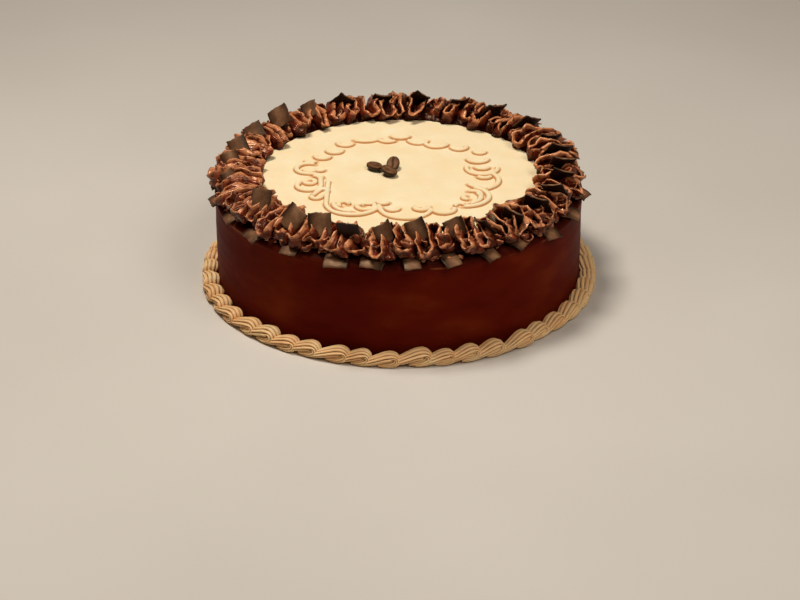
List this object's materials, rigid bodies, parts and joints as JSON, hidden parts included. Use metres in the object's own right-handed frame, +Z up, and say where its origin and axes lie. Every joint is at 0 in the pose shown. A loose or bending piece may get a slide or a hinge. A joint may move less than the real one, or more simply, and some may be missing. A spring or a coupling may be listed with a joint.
{
  "type": "chocolate layer cake",
  "caption": "Round iced chocolate cake with a ring of piped ruffles and thin chocolate pieces, a pale top with scroll piping and coffee beans, and a shell border.",
  "frame": {"origin": "centre of the cake's flat base, on the surface it stands on", "axes": "+Z up; the pictured front faces -Y; +X is to the right of someone looking at that front"},
  "size_m": [0.2651, 0.2656, 0.093],
  "materials": {
    "chocolate_coat": "smooth dark chocolate coat, satin",
    "pale_icing": "pale coffee-cream icing, matte",
    "chocolate_icing": "piped chocolate icing, softly glossy",
    "dark_chocolate": "thin dark chocolate pieces, dull",
    "light_icing": "piped light brown icing, matte",
    "coffee_bean": "roasted beans, semi-gloss"
  },
  "bodies": {
    "root": {"cake_body": "chocolate_coat", "icing_top": "pale_icing", "ruffle_ring": "chocolate_icing", "shell_border": "light_icing", "coffee_bean_1": "coffee_bean", "coffee_bean_2": "coffee_bean", "coffee_bean_3": "coffee_bean", "upper_piece_01": "dark_chocolate", "upper_piece_02": "dark_chocolate", "upper_piece_03": "dark_chocolate", "upper_piece_04": "dark_chocolate", "upper_piece_05": "dark_chocolate", "upper_piece_06": "dark_chocolate", "upper_piece_07": "dark_chocolate", "upper_piece_08": "dark_chocolate", "upper_piece_09": "dark_chocolate", "upper_piece_10": "dark_chocolate", "upper_piece_11": "dark_chocolate", "upper_piece_12": "dark_chocolate", "upper_piece_13": "dark_chocolate", "upper_piece_14": "dark_chocolate", "upper_piece_15": "dark_chocolate", "upper_piece_16": "dark_chocolate", "upper_piece_17": "dark_chocolate", "upper_piece_18": "dark_chocolate", "upper_piece_19": "dark_chocolate", "upper_piece_20": "dark_chocolate", "upper_piece_21": "dark_chocolate", "upper_piece_22": "dark_chocolate", "upper_piece_23": "dark_chocolate", "upper_piece_24": "dark_chocolate", "upper_piece_25": "dark_chocolate", "upper_piece_26": "dark_chocolate", "upper_piece_27": "dark_chocolate", "lower_piece_01": "dark_chocolate", "lower_piece_02": "dark_chocolate", "lower_piece_03": "dark_chocolate", "lower_piece_04": "dark_chocolate", "lower_piece_05": "dark_chocolate", "lower_piece_06": "dark_chocolate", "lower_piece_07": "dark_chocolate", "lower_piece_08": "dark_chocolate", "lower_piece_09": "dark_chocolate", "lower_piece_10": "dark_chocolate", "lower_piece_11": "dark_chocolate", "lower_piece_12": "dark_chocolate", "lower_piece_13": "dark_chocolate", "lower_piece_14": "dark_chocolate", "lower_piece_15": "dark_chocolate", "lower_piece_16": "dark_chocolate", "lower_piece_17": "dark_chocolate", "lower_piece_18": "dark_chocolate", "lower_piece_19": "dark_chocolate", "lower_piece_20": "dark_chocolate", "lower_piece_21": "dark_chocolate", "lower_piece_22": "dark_chocolate", "lower_piece_23": "dark_chocolate", "lower_piece_24": "dark_chocolate", "lower_piece_25": "dark_chocolate", "lower_piece_26": "dark_chocolate"}
  },
  "joints": []
}
